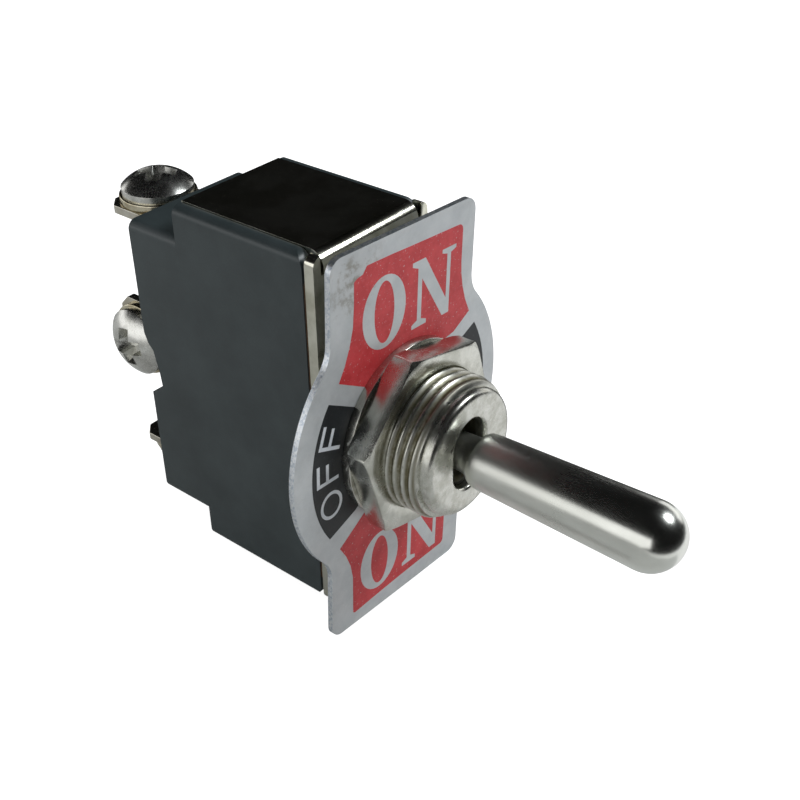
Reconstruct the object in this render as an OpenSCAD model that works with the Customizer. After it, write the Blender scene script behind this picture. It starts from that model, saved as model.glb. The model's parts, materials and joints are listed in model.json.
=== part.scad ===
// Panel toggle switch: single pole, ON-OFF-ON, bat lever, screw terminals, threaded bushing
// with two hex nuts, a lock washer and an indicator plate.
// +Z runs from the lower ON to the upper ON, the lever points along -Y, and the origin lies on
// the bushing's axis in the front face of the mounting frame. All sizes are in millimetres.

/* [Housing] */
// Width of the moulded housing
case_w = 13.2; // [12.6:0.1:16]
// Height of the front part, over its side rails
case_h = 32.8; // [31:0.1:38]
// Height of the narrower rear part
tail_h = 27.2; // [25.6:0.1:29]
// Depth of the front part, from its front face to the shoulder
clasp_d = 13.75; // [11:0.05:16]
// Depth of the whole housing
case_d = 19.45; // [18.5:0.05:23]
// Thickness of the rear floor that the terminals pass through
floor_t = 2.6; // [1.5:0.1:4]
// Thickness of the long side walls
side_wall = 2.0; // [1.6:0.1:2.2]
// Thickness of the end walls of the rear part
end_wall = 1.0; // [0.6:0.1:1.4]
// Radius of the long outer edges
case_r = 0.8; // [0.3:0.1:1.4]
// Radius of the rails' front ends
rail_r = 1.2; // [0.6:0.1:2.4]
// Depth of the wire relief in the rear edge of the left wall
relief_d = 1.5; // [0.6:0.1:2.2]

/* [Mounting frame] */
// Thickness of the steel frame
plate_t = 0.9; // [0.6:0.05:1.2]
// Width of the two tabs that run back along the housing
tab_w = 10.9; // [9:0.1:11.2]
// Outer radius of the bends
bend_r = 1.3; // [1.25:0.05:2]
// Height of the tabs above the rails
tab_proud = 0.1; // [0:0.05:0.4]
// Width of the relief cut beside each bend
bend_relief = 0.35; // [0.2:0.05:0.6]
// Thickness of the insulating sheet behind the frame
sheet_t = 0.25; // [0.15:0.05:0.5]

/* [Bushing] */
// Outer diameter of the thread
thread_d = 11.9; // [11.6:0.05:12.4]
// Length of the thread
thread_l = 8.6; // [8.2:0.1:11]
// Pitch of the thread
thread_pitch = 0.794; // [0.7:0.001:1]
// Length of the whole bushing in front of the frame
bushing_l = 9.5; // [9.3:0.1:13]
// Diameter of the plain nose in front of the thread
nose_d = 10.7; // [10:0.1:11.4]
// Width of the chamfer round the nose
nose_chamfer = 0.55; // [0.2:0.05:0.8]
// Diameter of the shank in the frame's hole
shank_d = 10.2; // [9.6:0.1:10.6]
// Diameter of the flange staked over behind the frame
flange_d = 11.0; // [10.8:0.1:11.4]
// Thickness of the staked flange
flange_t = 1.0; // [0.6:0.1:1.4]
// Diameter of the bore behind the ball
bore_d = 7.5; // [7.4:0.1:8.2]
// Width of the mouth, across the lever's swing
mouth_w = 4.0; // [3.4:0.1:5]
// Height of the mouth, along the lever's swing
mouth_h = 6.2; // [6:0.1:6.8]
// Width of the keyway
keyway_w = 1.8; // [1.2:0.1:2.4]
// Depth of the keyway
keyway_d = 0.9; // [0.5:0.1:1]

/* [Lever] */
// Swing of the lever to each side, degrees
throw_deg = 12.5; // [8:0.5:13]
// Distance of the ball's centre in front of the frame's face
pivot_l = 3.6; // [3.4:0.1:4]
// Length from the frame's face to the lever's tip
lever_l = 28.0; // [20:0.5:34]
// Diameter of the ball
ball_d = 7.2; // [6.6:0.1:7.2]
// Diameter of the neck in the mouth
neck_d = 2.9; // [2.4:0.1:2.9]
// Gap between the bushing's face and the start of the bat
shoulder_gap = 0.65; // [0.5:0.05:2]
// Diameter of the bat at its root
bat_root_d = 4.25; // [3.6:0.05:4.4]
// Diameter of the bat's round tip
bat_tip_d = 5.2; // [4.6:0.1:6]
// Length of the flare between neck and bat
flare_l = 0.6; // [0.3:0.1:1.2]
// Diameter of the tail inside the switch
tail_d = 4.4; // [4.2:0.1:4.6]
// Length of the tail from the ball's centre
tail_l = 12.0; // [11:0.1:13]
// Diameter of the cross pin
pin_d = 1.6; // [1.2:0.1:1.8]

/* [Snap action] */
// Diameter of the plunger
plunger_d = 2.5; // [2.2:0.1:2.6]
// Length of the plunger inside the tail
plunger_seat = 5.0; // [3:0.1:6]
// Distance from the frame's face to the plunger's tip
plunger_reach = 13.3; // [12.8:0.1:13.8]
// Distance from the ball's centre to the bottom of the spring's bore
spring_start = 3.2; // [2.8:0.1:3.4]
// Diameter of the spring's wire
wire_d = 0.36; // [0.2:0.02:0.4]
// Number of turns of the spring
spring_turns = 5; // [3:1:6]
// Tilt of the rocker to each side, degrees
rocker_deg = 9; // [6:0.5:10]
// Thickness of the rocker's strip
strip_t = 0.7; // [0.5:0.05:0.9]
// Width of the rocker's strip
strip_w = 4.6; // [4:0.1:4.8]
// Distance from the rocker's axis to each contact's centre
contact_arm = 8.0; // [7.4:0.1:8.6]
// Diameter of the contact buttons
button_d = 3.0; // [2.4:0.1:3.2]
// Height of the rocker's buttons
button_h = 0.9; // [0.7:0.05:1.1]
// Radius of the crown on the rocker's buttons
crown_r = 4.0; // [3:0.25:8]
// Diameter of the rivet shanks of the contacts
rivet_d = 1.4; // [1:0.1:1.6]
// Diameter of the rocker's pivot lugs
lug_d = 1.0; // [0.8:0.1:1.2]

/* [Terminals] */
// Thickness of the terminals
term_t = 0.8; // [0.6:0.05:1]
// Width of the terminals
term_w = 6.9; // [6:0.1:7.4]
// Length of the terminals behind the housing
term_l = 6.8; // [6.4:0.1:9]
// Size of the chamfers on the terminals' corners
term_chamfer = 1.0; // [0.4:0.1:1.6]
// Distance from the terminals' ends to the screws' axes
screw_inset = 3.0; // [2.6:0.1:3.4]
// Half the distance between the middle terminal's two cheeks, over all
cheek_x = 3.5; // [3.4:0.1:4]
// Diameter of the screws' threads
screw_d = 3.5; // [3:0.1:4]
// Diameter of the screws' heads
head_d = 6.3; // [5.6:0.1:6.6]
// Height of the screws' heads
head_h = 2.0; // [1.6:0.1:2.4]
// Height of the straight rim below the heads' dome
head_rim = 0.6; // [0.3:0.1:0.9]
// Length of the screws' cross recess
cross_l = 3.4; // [2.6:0.1:4]
// Width of the screws' cross recess
cross_w = 0.8; // [0.6:0.1:1.1]
// Depth of the screws' cross recess
cross_d = 1.2; // [0.8:0.1:1.4]
// Length of the screws beyond the terminals
screw_spare = 1.6; // [0.4:0.1:2.4]
// Diameter of the clamp washers
clamp_d = 6.8; // [6.2:0.1:6.8]
// Thickness of the clamp washers
clamp_t = 0.7; // [0.5:0.05:0.9]

/* [Panel hardware] */
// Width of both nuts across their flats
nut_af = 14.5; // [14:0.1:16]
// Thickness of the front nut
front_nut_t = 2.14; // [1.8:0.02:2.4]
// Turn of the front nut's flats, degrees
front_nut_turn = 16.3; // [0:0.1:60]
// Thickness of the rear nut
rear_nut_t = 2.36; // [1.6:0.02:2.6]
// Turn of the rear nut's flats, degrees
rear_nut_turn = 40; // [0:1:60]
// Width of the nuts' corner chamfers
nut_chamfer = 0.45; // [0.2:0.05:0.7]
// Outer diameter of the lock washer
lock_d = 15.2; // [14.6:0.1:17]
// Thickness of the lock washer
lock_t = 0.8; // [0.5:0.05:1]
// Number of the lock washer's inner teeth
lock_teeth = 12; // [8:1:14]

/* [Indicator plate] */
// Width of the plate's straight part
label_w = 17.0; // [15:0.1:20]
// Height of the plate
label_h = 34.3; // [30:0.1:40]
// Thickness of the plate
label_t = 0.5; // [0.4:0.05:0.6]
// Diameter of the round bulge at the plate's middle
bulge_d = 25.3; // [23:0.1:28]
// Radius of the plate's four corners
label_r = 1.2; // [0.5:0.1:3]
// Radius of the hollow between the sides and the bulge
flare_r = 3.0; // [1:0.1:5]
// Turn of the plate about the bushing, degrees
label_turn = -3; // [-6:0.5:6]
// Sideways offset of the plate's outline from the bushing
label_offset = -0.3; // [-0.5:0.05:0.5]

/* [Fits] */
// Radial clearance of what turns, slides or screws
fit = 0.05; // [0.03:0.01:0.08]
// Radial clearance of what is pressed or staked
press = 0.01; // [0.01:0.01:0.02]
// Clearance round pieces that only pass through
pass = 0.1; // [0.08:0.01:0.14]

/* [Hidden] */
$fn = 48;
over = 1;                                   // how far a cutter reaches past a face
arc_steps = 12;                             // straight steps in each arc of the plate's outline

// Depths along Y
front_y = plate_t + sheet_t;
shoulder_y = front_y + clasp_d;
rear_y = front_y + case_d;
floor_y = rear_y - floor_t;
term_end = rear_y + term_l;
screw_y = term_end - screw_inset;
flange_y = plate_t + flange_t;
label_y = -rear_nut_t;
lock_y = label_y - label_t;
nut_y = lock_y - lock_t;
nut_face_y = nut_y - front_nut_t;
free_y = nut_face_y - pass;                 // rear end of the thread that the nut leaves free
pitch_d = thread_d - 0.65 * thread_pitch;   // where thread and nut meet, both are plain at the pitch line

// Housing and frame
cavity_w = case_w - 2 * side_wall;
cavity_h = tail_h - 2 * end_wall;
frame_h = case_h + 2 * tab_proud;
seat_h = frame_h - 2 * plate_t;             // height over the grooves that the tabs lie in
groove_r = bend_r - plate_t + 0.2;          // eases the grooves' front edges inside the bends
relief_h = 3.2;                             // half the height of the wire relief

// Lever and plunger
pivot_y = -pivot_l;
shoulder_start = -bushing_l - shoulder_gap;
bat_start = shoulder_start - flare_l;
dome_y = bat_tip_d / 2 - lever_l;
taper = asin((bat_tip_d - bat_root_d) / 2 / (bat_start - dome_y));
tail_end = pivot_y + tail_l;
bore_start = pivot_y + spring_start;
plunger_start = tail_end - plunger_seat;
tip_r = plunger_d / 2;
tip_y = plunger_reach - tip_r;

// Rocker: its valley follows the plunger's tip, seen from the rocker as both turn
rocker_y = plunger_reach + strip_t - fit;
function turned(p, a) = [p.x * cos(a) - p.y * sin(a), p.x * sin(a) + p.y * cos(a)];
tip_arm = tip_y - pivot_y;
tip_end = turned([tip_arm * cos(throw_deg) + pivot_y - rocker_y, tip_arm * sin(throw_deg)], rocker_deg);
tip_rise = tip_y - rocker_y - tip_end.x;
path_r = (pow(tip_end.y, 2) + pow(tip_rise, 2)) / (2 * tip_rise);
valley_r = path_r + tip_r + fit;
valley_y = tip_y - path_r;
crest_deg = asin(tip_end.y / path_r) + 7;
arm_y = rocker_y + 0.1;                     // rear face of the flat arms
crest = [valley_y + (valley_r + strip_t / 2) * cos(crest_deg), (valley_r + strip_t / 2) * sin(crest_deg)];
knee = [arm_y - strip_t / 2, contact_arm - button_d / 2 - 0.3];
arm_end = contact_arm + button_d / 2 - 0.1;

// Contacts and terminals
crown_y = arm_y - rocker_y + button_h - crown_r;
contact_y = rocker_y + crown_y * cos(rocker_deg) + contact_arm * sin(rocker_deg) + crown_r + fit / 2;
foot_y = floor_y - term_t;
foot_z = contact_arm - button_d / 2 - 0.3;
term_z = cavity_h / 2 - 0.3;
cheek_y = rocker_y - lug_d / 2;             // front edges of the middle terminal's cheeks
cheek_h = 4.4;

// ---- Placing and outline helpers ----

// Extrudes an (x, z) outline from depth y0 back to y1
module along_y(y0, y1) {
    translate([0, y1, 0]) rotate([90, 0, 0]) linear_extrude(y1 - y0) children();
}

// Extrudes a (y, z) outline from x0 to x1
module along_x(x0, x1) {
    translate([x0, 0, 0]) rotate([90, 0, 90]) linear_extrude(x1 - x0) children();
}

// Cylinder or cone about the bushing's axis, radius r0 at y0 and r1 at y1
module turned_y(y0, y1, r0, r1) {
    translate([0, y0, 0]) rotate([-90, 0, 0]) cylinder(h = y1 - y0, r1 = r0, r2 = r1);
}

// Round rod along X through (y, z)
module rod_x(x0, x1, y, z, d) {
    translate([x0, y, z]) rotate([0, 90, 0]) cylinder(h = x1 - x0, d = d);
}

module rounded_rect(w, h, r) {
    square([w - 2 * r, h], center = true);
    square([w, h - 2 * r], center = true);
    for (sx = [-1, 1], sy = [-1, 1]) translate([sx * (w / 2 - r), sy * (h / 2 - r)]) circle(r);
}

module obround(w, h) {
    square([w, h - w], center = true);
    for (s = [-1, 1]) translate([0, s * (h - w) / 2]) circle(d = w);
}

// Quarter of a bent sheet of thickness t, outer radius r, in the first quadrant
module bend(r, t) {
    intersection() {
        difference() {
            circle(r);
            circle(r - t);
        }
        square(r);
    }
}

// Straight piece of strip with round ends between two points
module strip(p, q, t) {
    way = q - p;
    translate(p) rotate(atan2(way.y, way.x)) translate([0, -t / 2]) square([norm(way), t]);
    translate(p) circle(d = t);
    translate(q) circle(d = t);
}

module both_ends() {
    children();
    mirror([0, 0, 1]) children();
}

// ---- Housing ----

// (y, z) outline of the front part, with its front edges rounded
module front_outline(h, r) {
    translate([(front_y + shoulder_y) / 2, 0]) rounded_rect(shoulder_y - front_y, h, r);
    translate([front_y + r, -h / 2]) square([shoulder_y - front_y - r, h]);
}

// Wire relief in the rear edge of the left wall, deepest below the middle
module relief_outline() {
    translate([rear_y, 0]) polygon([
        [over, relief_h + over], [0, relief_h], [-relief_d * 0.25, relief_h * 0.7],
        [-relief_d * 0.6, relief_h * 0.52], [-relief_d * 0.9, -relief_h * 0.12],
        [-relief_d, -relief_h * 0.55], [-relief_d * 0.2, -relief_h * 0.86], [over, -relief_h]
    ]);
}

module housing_shell() {
    rail_x = tab_w / 2 + fit;
    intersection() {
        along_y(front_y, shoulder_y) rounded_rect(case_w, case_h, case_r);
        union() {
            along_x(-rail_x, rail_x) front_outline(seat_h, groove_r);
            along_x(-case_w / 2, -rail_x) front_outline(case_h, rail_r);
            along_x(rail_x, case_w / 2) front_outline(case_h, rail_r);
        }
    }
    along_y(shoulder_y - over, rear_y) rounded_rect(case_w, tail_h, case_r);
}

module housing() {
    slot_w = term_w + 2 * fit;
    slot_t = term_t + 2 * fit;
    color([0.24, 0.27, 0.29]) difference() {
        housing_shell();
        along_y(front_y - over, floor_y) square([cavity_w, cavity_h], center = true);
        turned_y(front_y - over, flange_y + pass, flange_d / 2 + pass, flange_d / 2 + pass);
        both_ends() {
            along_y(floor_y - over, rear_y + over) {
                translate([-slot_w / 2, term_z - term_t - fit]) square([slot_w, slot_t]);
            }
        }
        along_y(floor_y - over, rear_y + over) {
            translate([-cheek_x - fit, -slot_w / 2]) square([slot_t, slot_w]);
        }
        along_x(-case_w / 2 - over, -cheek_x - fit - pass) relief_outline();
    }
}

// ---- Mounting frame and insulating sheet ----

// (y, z) outline of half the bent strip: plate, bend and tab
module frame_outline() {
    bend_z = frame_h / 2 - bend_r;
    square([plate_t, bend_z]);
    translate([bend_r, bend_z]) mirror([1, 0]) bend(bend_r, plate_t);
    translate([bend_r, frame_h / 2 - plate_t]) square([shoulder_y - bend_r, plate_t]);
}

module mounting_frame() {
    cut_z = frame_h / 2 - bend_r - bend_relief;
    color([0.78, 0.76, 0.66]) difference() {
        union() {
            both_ends() along_x(-tab_w / 2, tab_w / 2) frame_outline();
            along_y(0, plate_t) difference() {
                rounded_rect(case_w, case_h, case_r);
                for (s = [-1, 1]) translate([-tab_w / 2 - bend_relief, s > 0 ? cut_z : -case_h]) {
                    square([tab_w + 2 * bend_relief, case_h - cut_z]);
                }
            }
        }
        turned_y(-over, plate_t + over, shank_d / 2 + press, shank_d / 2 + press);
    }
}

module insulating_sheet() {
    color([0.35, 0.27, 0.18]) along_y(plate_t, front_y) difference() {
        rounded_rect(case_w - 2 * pass, seat_h - 2, case_r);
        circle(d = flange_d + 2 * pass);
    }
}

// ---- Bushing, lever and cross pin ----

module threaded_bushing() {
    root = thread_d / 2 - nose_d / 2;
    nose_y = -bushing_l + nose_chamfer;
    color([0.72, 0.70, 0.64]) difference() {
        union() {
            turned_y(-thread_l, free_y, thread_d / 2, thread_d / 2);
            turned_y(free_y, nut_y, pitch_d / 2, pitch_d / 2);
            turned_y(nut_y, label_y, thread_d / 2, thread_d / 2);
            turned_y(label_y, 0, pitch_d / 2, pitch_d / 2);
            turned_y(-thread_l - root / 2, -thread_l, nose_d / 2, thread_d / 2);
            turned_y(nose_y, -thread_l, nose_d / 2, nose_d / 2);
            turned_y(-bushing_l, nose_y, nose_d / 2 - nose_chamfer, nose_d / 2);
            turned_y(-over / 2, flange_y, shank_d / 2, shank_d / 2);
            turned_y(plate_t, flange_y, flange_d / 2, flange_d / 2);
        }
        turned_y(pivot_y, flange_y + over, bore_d / 2, bore_d / 2);
        translate([0, pivot_y, 0]) sphere(d = bore_d);
        along_y(-bushing_l - over, pivot_y) obround(mouth_w, mouth_h);
        rod_x(-thread_d, thread_d, pivot_y, 0, pin_d + 2 * press);
        along_y(-bushing_l - over, -fit) {
            translate([-keyway_w / 2, -thread_d]) square([keyway_w, thread_d / 2 + keyway_d]);
        }
    }
}

module lever_pin() {
    color([0.6, 0.6, 0.58]) rod_x(-nose_d / 2, nose_d / 2, pivot_y, 0, pin_d);
}

// (radius, depth) outline of the lever: round tip, bat, flare, neck, ball and tail
module lever_outline() {
    root_r = bat_root_d / 2;
    cone_end = [bat_tip_d / 2 * cos(taper), dome_y + bat_tip_d / 2 * sin(taper)];
    polygon([
        [0, dome_y], cone_end, [root_r, bat_start], [neck_d / 2, shoulder_start],
        [neck_d / 2, pivot_y], [tail_d / 2, pivot_y], [tail_d / 2, tail_end], [0, tail_end]
    ]);
    intersection() {
        union() {
            translate([0, dome_y]) circle(d = bat_tip_d);
            translate([0, pivot_y]) circle(d = ball_d);
        }
        translate([0, -lever_l]) square(lever_l);
    }
}

module toggle_lever() {
    color([0.72, 0.72, 0.70]) difference() {
        rotate([-90, 0, 0]) rotate_extrude() lever_outline();
        rod_x(-ball_d, ball_d, pivot_y, 0, pin_d + 2 * fit);
        turned_y(bore_start, tail_end + over, tip_r + fit, tip_r + fit);
    }
}

// ---- Spring, plunger and rocker ----

// Ring of points round the wire at turn angle a of the spring
function wire_ring(a, sides, coil_r, start, pitch) = [
    for (k = [0:sides - 1])
        let (r = coil_r + wire_d / 2 * cos(360 * k / sides))
        [r * cos(a), start + pitch * a / 360 + wire_d / 2 * sin(360 * k / sides), r * sin(a)]
];

module plunger_spring() {
    sides = 6;
    steps = 16;
    coil_r = tip_r - wire_d / 2 - fit;
    start = bore_start + wire_d / 2 + fit;
    pitch = (plunger_start - wire_d - 2 * fit - bore_start) / spring_turns;
    last = steps * spring_turns;
    points = [for (i = [0:last]) each wire_ring(360 * i / steps, sides, coil_r, start, pitch)];
    walls = [
        for (i = [0:last - 1], k = [0:sides - 1])
            [i * sides + k, (i + 1) * sides + k, (i + 1) * sides + (k + 1) % sides, i * sides + (k + 1) % sides]
    ];
    first_cap = [for (k = [0:sides - 1]) k];
    last_cap = [for (k = [sides - 1:-1:0]) last * sides + k];
    color([0.7, 0.7, 0.72]) polyhedron(points, concat(walls, [first_cap, last_cap]), convexity = 10);
}

module plunger() {
    color([0.9, 0.88, 0.8]) {
        turned_y(plunger_start, tip_y, tip_r, tip_r);
        translate([0, tip_y, 0]) sphere(r = tip_r);
    }
}

// (y, z) outline of the formed strip: a valley between two crests, and two flat arms
module rocker_outline() {
    intersection() {
        translate([valley_y, 0]) difference() {
            circle(valley_r + strip_t);
            circle(valley_r);
        }
        translate([crest.x, -crest.y]) square([valley_r, 2 * crest.y]);
    }
    for (s = [-1, 1]) {
        strip([crest.x, s * crest.y], [knee.x, s * knee.y], strip_t);
        strip([knee.x, s * knee.y], [knee.x, s * (arm_end - strip_t / 2)], strip_t);
    }
}

module rocker() {
    color([0.80, 0.60, 0.35]) difference() {
        union() {
            along_x(-strip_w / 2, strip_w / 2) rocker_outline();
            rod_x(-cheek_x, cheek_x, rocker_y, 0, lug_d);
        }
        both_ends() translate([0, 0, contact_arm]) {
            turned_y(arm_y - strip_t - over, arm_y + over, rivet_d / 2 + press, rivet_d / 2 + press);
        }
    }
}

// Crowned rivet in the rocker's arm
module rocker_button() {
    color([0.85, 0.84, 0.8]) translate([0, 0, contact_arm]) {
        intersection() {
            turned_y(arm_y, arm_y + button_h, button_d / 2, button_d / 2);
            translate([0, arm_y + button_h - crown_r, 0]) sphere(r = crown_r, $fn = 96);
        }
        turned_y(arm_y - strip_t, arm_y, rivet_d / 2, rivet_d / 2);
    }
}

// Flat rivet in the outer terminals' feet
module fixed_contact() {
    color([0.85, 0.84, 0.8]) translate([0, 0, contact_arm]) {
        turned_y(contact_y, foot_y, button_d / 2, button_d / 2);
        turned_y(foot_y - over / 4, floor_y, rivet_d / 2, rivet_d / 2);
    }
}

// ---- Terminals ----

// Flat tab with chamfered rear corners, as a (width, depth) outline from depth y0
module tab_outline(y0, w) {
    c = term_chamfer;
    polygon([
        [-w / 2, y0], [w / 2, y0], [w / 2, term_end - c],
        [w / 2 - c, term_end], [c - w / 2, term_end], [-w / 2, term_end - c]
    ]);
}

// (y, z) outline of an outer terminal: foot on the floor, bend, and tab
module angle_outline() {
    r = term_t + fit;
    translate([foot_y, foot_z]) square([term_t, term_z - r - foot_z]);
    translate([foot_y + r, term_z - r]) mirror([1, 0]) bend(r, term_t);
    translate([foot_y + r, term_z - term_t]) square([term_end - foot_y - r, term_t]);
}

module outer_terminal() {
    color([0.80, 0.72, 0.52]) difference() {
        intersection() {
            along_x(-term_w / 2, term_w / 2) angle_outline();
            linear_extrude(tail_h) tab_outline(foot_y, term_w);
        }
        translate([0, screw_y, 0]) cylinder(h = tail_h, d = screw_d + 2 * fit);
        translate([0, 0, contact_arm]) {
            turned_y(foot_y - over, floor_y + over, rivet_d / 2 + press, rivet_d / 2 + press);
        }
    }
}

module middle_terminal() {
    color([0.80, 0.72, 0.52]) difference() {
        union() {
            along_x(-cheek_x, term_t - cheek_x) rotate(90) mirror([0, 1]) tab_outline(foot_y, term_w);
            translate([-cheek_x, foot_y, -term_w / 2]) cube([2 * cheek_x, term_t, term_w]);
            for (x = [-cheek_x, cheek_x - term_t]) {
                translate([x, cheek_y, -cheek_h / 2]) cube([term_t, floor_y - cheek_y, cheek_h]);
            }
        }
        rod_x(-2 * cheek_x, 2 * cheek_x, rocker_y, 0, lug_d + 2 * fit);
        along_x(-2 * cheek_x, 2 * cheek_x) {
            translate([cheek_y - over, -lug_d / 2 - fit]) square([rocker_y - cheek_y + over, lug_d + 2 * fit]);
        }
        rod_x(-2 * cheek_x, 0, screw_y, 0, screw_d + 2 * fit);
    }
}

// ---- Terminal screws and clamp washers, standing on z = 0 ----

module clamp_washer() {
    color([0.82, 0.78, 0.55]) difference() {
        cylinder(h = clamp_t, d = clamp_d);
        translate([0, 0, -over]) cylinder(h = clamp_t + 2 * over, d = screw_d + 2 * pass);
    }
}

module terminal_screw() {
    rise = head_h - head_rim;
    dome_r = (pow(head_d / 2, 2) + pow(rise, 2)) / (2 * rise);
    color([0.66, 0.67, 0.68]) translate([0, 0, clamp_t]) difference() {
        union() {
            intersection() {
                cylinder(h = head_h, d = head_d);
                translate([0, 0, head_h - dome_r]) sphere(r = dome_r, $fn = 96);
            }
            translate([0, 0, -clamp_t - term_t - screw_spare]) {
                cylinder(h = clamp_t + term_t + screw_spare + over / 2, d = screw_d);
            }
        }
        for (a = [0, 90]) rotate(a) translate([-cross_l / 2, -cross_w / 2, head_h - cross_d]) {
            cube([cross_l, cross_w, head_h]);
        }
    }
}

module on_upper() {
    translate([0, screw_y, term_z]) children();
}

module on_middle() {
    translate([-cheek_x, screw_y, 0]) rotate([0, -90, 0]) children();
}

module on_lower() {
    mirror([0, 0, 1]) on_upper() children();
}

// ---- Panel hardware ----

// Hex nut with chamfered corners between y0 and y1
module hex_nut(y0, y1, turn) {
    corner_r = nut_af / 2 / cos(30);
    face_r = corner_r - nut_chamfer * 1.7;
    sink = (thread_d - pitch_d) / 2;        // depth of the lead-in at each end of the thread
    color([0.80, 0.80, 0.74]) difference() {
        intersection() {
            along_y(y0, y1) rotate(turn - 30) circle(r = corner_r, $fn = 6);
            union() {
                turned_y(y0, y0 + nut_chamfer, face_r, corner_r);
                turned_y(y0 + nut_chamfer, y1 - nut_chamfer, corner_r, corner_r);
                turned_y(y1 - nut_chamfer, y1, corner_r, face_r);
            }
        }
        turned_y(y0 - over, y1 + over, pitch_d / 2 + fit, pitch_d / 2 + fit);
        for (face = [y0, y1]) translate([0, face, 0]) mirror([0, face == y0 ? 0 : 1, 0]) {
            turned_y(-fit, sink, thread_d / 2 + fit, pitch_d / 2);
        }
    }
}

module lock_washer() {
    gullet_w = 1.3;
    gullet_r = nut_af / 2 - 0.4;
    color([0.74, 0.74, 0.70]) along_y(nut_y, lock_y) difference() {
        circle(d = lock_d);
        circle(d = thread_d + 2 * pass);
        for (i = [0:lock_teeth - 1]) rotate(360 / lock_teeth * i) {
            translate([0, -gullet_w / 2]) square([gullet_r, gullet_w]);
        }
    }
}

// Points of an arc about c, from angle a0 to a1
function arc(c, r, a0, a1, steps) = [
    for (i = [0:steps]) let (a = a0 + (a1 - a0) * i / steps) c + r * [cos(a), sin(a)]
];

// Bulge, hollow and corner in the first quadrant, with the arcs tangent to each other
module label_outline() {
    bulge_r = bulge_d / 2;
    hollow_x = label_w / 2 + flare_r;
    hollow = [hollow_x, sqrt(pow(bulge_r + flare_r, 2) - pow(hollow_x, 2))];
    meet = atan2(hollow.y, hollow.x);
    corner = [label_w / 2 - label_r, label_h / 2 - label_r];
    quarter = concat(
        arc([0, 0], bulge_r, meet / arc_steps / 2, meet, arc_steps),
        arc(hollow, flare_r, 180 + meet - meet / arc_steps, 180, arc_steps),
        arc(corner, label_r, 0, 90, arc_steps)
    );
    last = len(quarter) - 1;
    polygon(concat(
        quarter,
        [for (i = [last:-1:0]) [-quarter[i].x, quarter[i].y]],
        [for (i = [0:last]) -quarter[i]],
        [for (i = [last:-1:0]) [quarter[i].x, -quarter[i].y]]
    ));
}

module indicator_plate() {
    color([0.72, 0.76, 0.80]) along_y(lock_y, label_y) difference() {
        rotate(label_turn) translate([label_offset, 0]) label_outline();
        circle(d = thread_d + 2 * pass);
    }
}

housing();
mounting_frame();
insulating_sheet();
threaded_bushing();
lever_pin();
toggle_lever();
plunger_spring();
plunger();
rocker();
rocker_button();  // rocker_button_upper
mirror([0, 0, 1]) rocker_button();  // rocker_button_lower
fixed_contact();  // fixed_contact_upper
mirror([0, 0, 1]) fixed_contact();  // fixed_contact_lower
outer_terminal();  // upper_terminal
middle_terminal();
mirror([0, 0, 1]) outer_terminal();  // lower_terminal
on_upper() clamp_washer();  // upper_washer
on_middle() clamp_washer();  // middle_washer
on_lower() clamp_washer();  // lower_washer
on_upper() terminal_screw();  // upper_screw
on_middle() terminal_screw();  // middle_screw
on_lower() terminal_screw();  // lower_screw
hex_nut(label_y, 0, rear_nut_turn);  // rear_nut
indicator_plate();
lock_washer();
hex_nut(nut_face_y, nut_y, front_nut_turn);  // front_nut
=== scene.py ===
"""Panel toggle switch, ON-OFF-ON, with screw terminals, panel nuts and an indicator plate."""
import json
import math

import bmesh
import bpy
from mathutils import Matrix, Vector


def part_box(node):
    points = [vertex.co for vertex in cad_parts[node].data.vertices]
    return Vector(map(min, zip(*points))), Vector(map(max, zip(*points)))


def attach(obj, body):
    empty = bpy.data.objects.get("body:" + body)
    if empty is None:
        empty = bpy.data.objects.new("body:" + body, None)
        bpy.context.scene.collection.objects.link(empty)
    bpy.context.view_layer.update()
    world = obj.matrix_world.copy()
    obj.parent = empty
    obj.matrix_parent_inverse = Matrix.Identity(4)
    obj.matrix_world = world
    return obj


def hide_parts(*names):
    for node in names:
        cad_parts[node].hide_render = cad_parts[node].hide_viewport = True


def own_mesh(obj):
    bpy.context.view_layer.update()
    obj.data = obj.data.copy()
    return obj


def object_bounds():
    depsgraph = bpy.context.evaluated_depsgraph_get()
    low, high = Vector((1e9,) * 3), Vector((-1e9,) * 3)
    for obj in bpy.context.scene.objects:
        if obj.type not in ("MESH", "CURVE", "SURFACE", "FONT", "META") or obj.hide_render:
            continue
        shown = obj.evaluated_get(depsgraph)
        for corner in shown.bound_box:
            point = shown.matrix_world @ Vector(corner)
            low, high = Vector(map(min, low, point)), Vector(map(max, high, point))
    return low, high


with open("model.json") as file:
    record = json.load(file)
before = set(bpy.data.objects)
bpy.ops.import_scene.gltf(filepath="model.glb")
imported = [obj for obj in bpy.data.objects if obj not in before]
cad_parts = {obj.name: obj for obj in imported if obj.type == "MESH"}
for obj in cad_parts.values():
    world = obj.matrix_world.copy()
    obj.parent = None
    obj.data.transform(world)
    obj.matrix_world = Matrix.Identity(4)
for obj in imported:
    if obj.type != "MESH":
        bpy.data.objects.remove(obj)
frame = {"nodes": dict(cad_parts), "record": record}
cad_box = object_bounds()

# ---- Housing ----
# The body is a black thermoset moulding, pressed in a polished steel mould. Its long sides came
# out satin, with a faint cloudy flow in them, and tumbling broke its edges a little.


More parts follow.
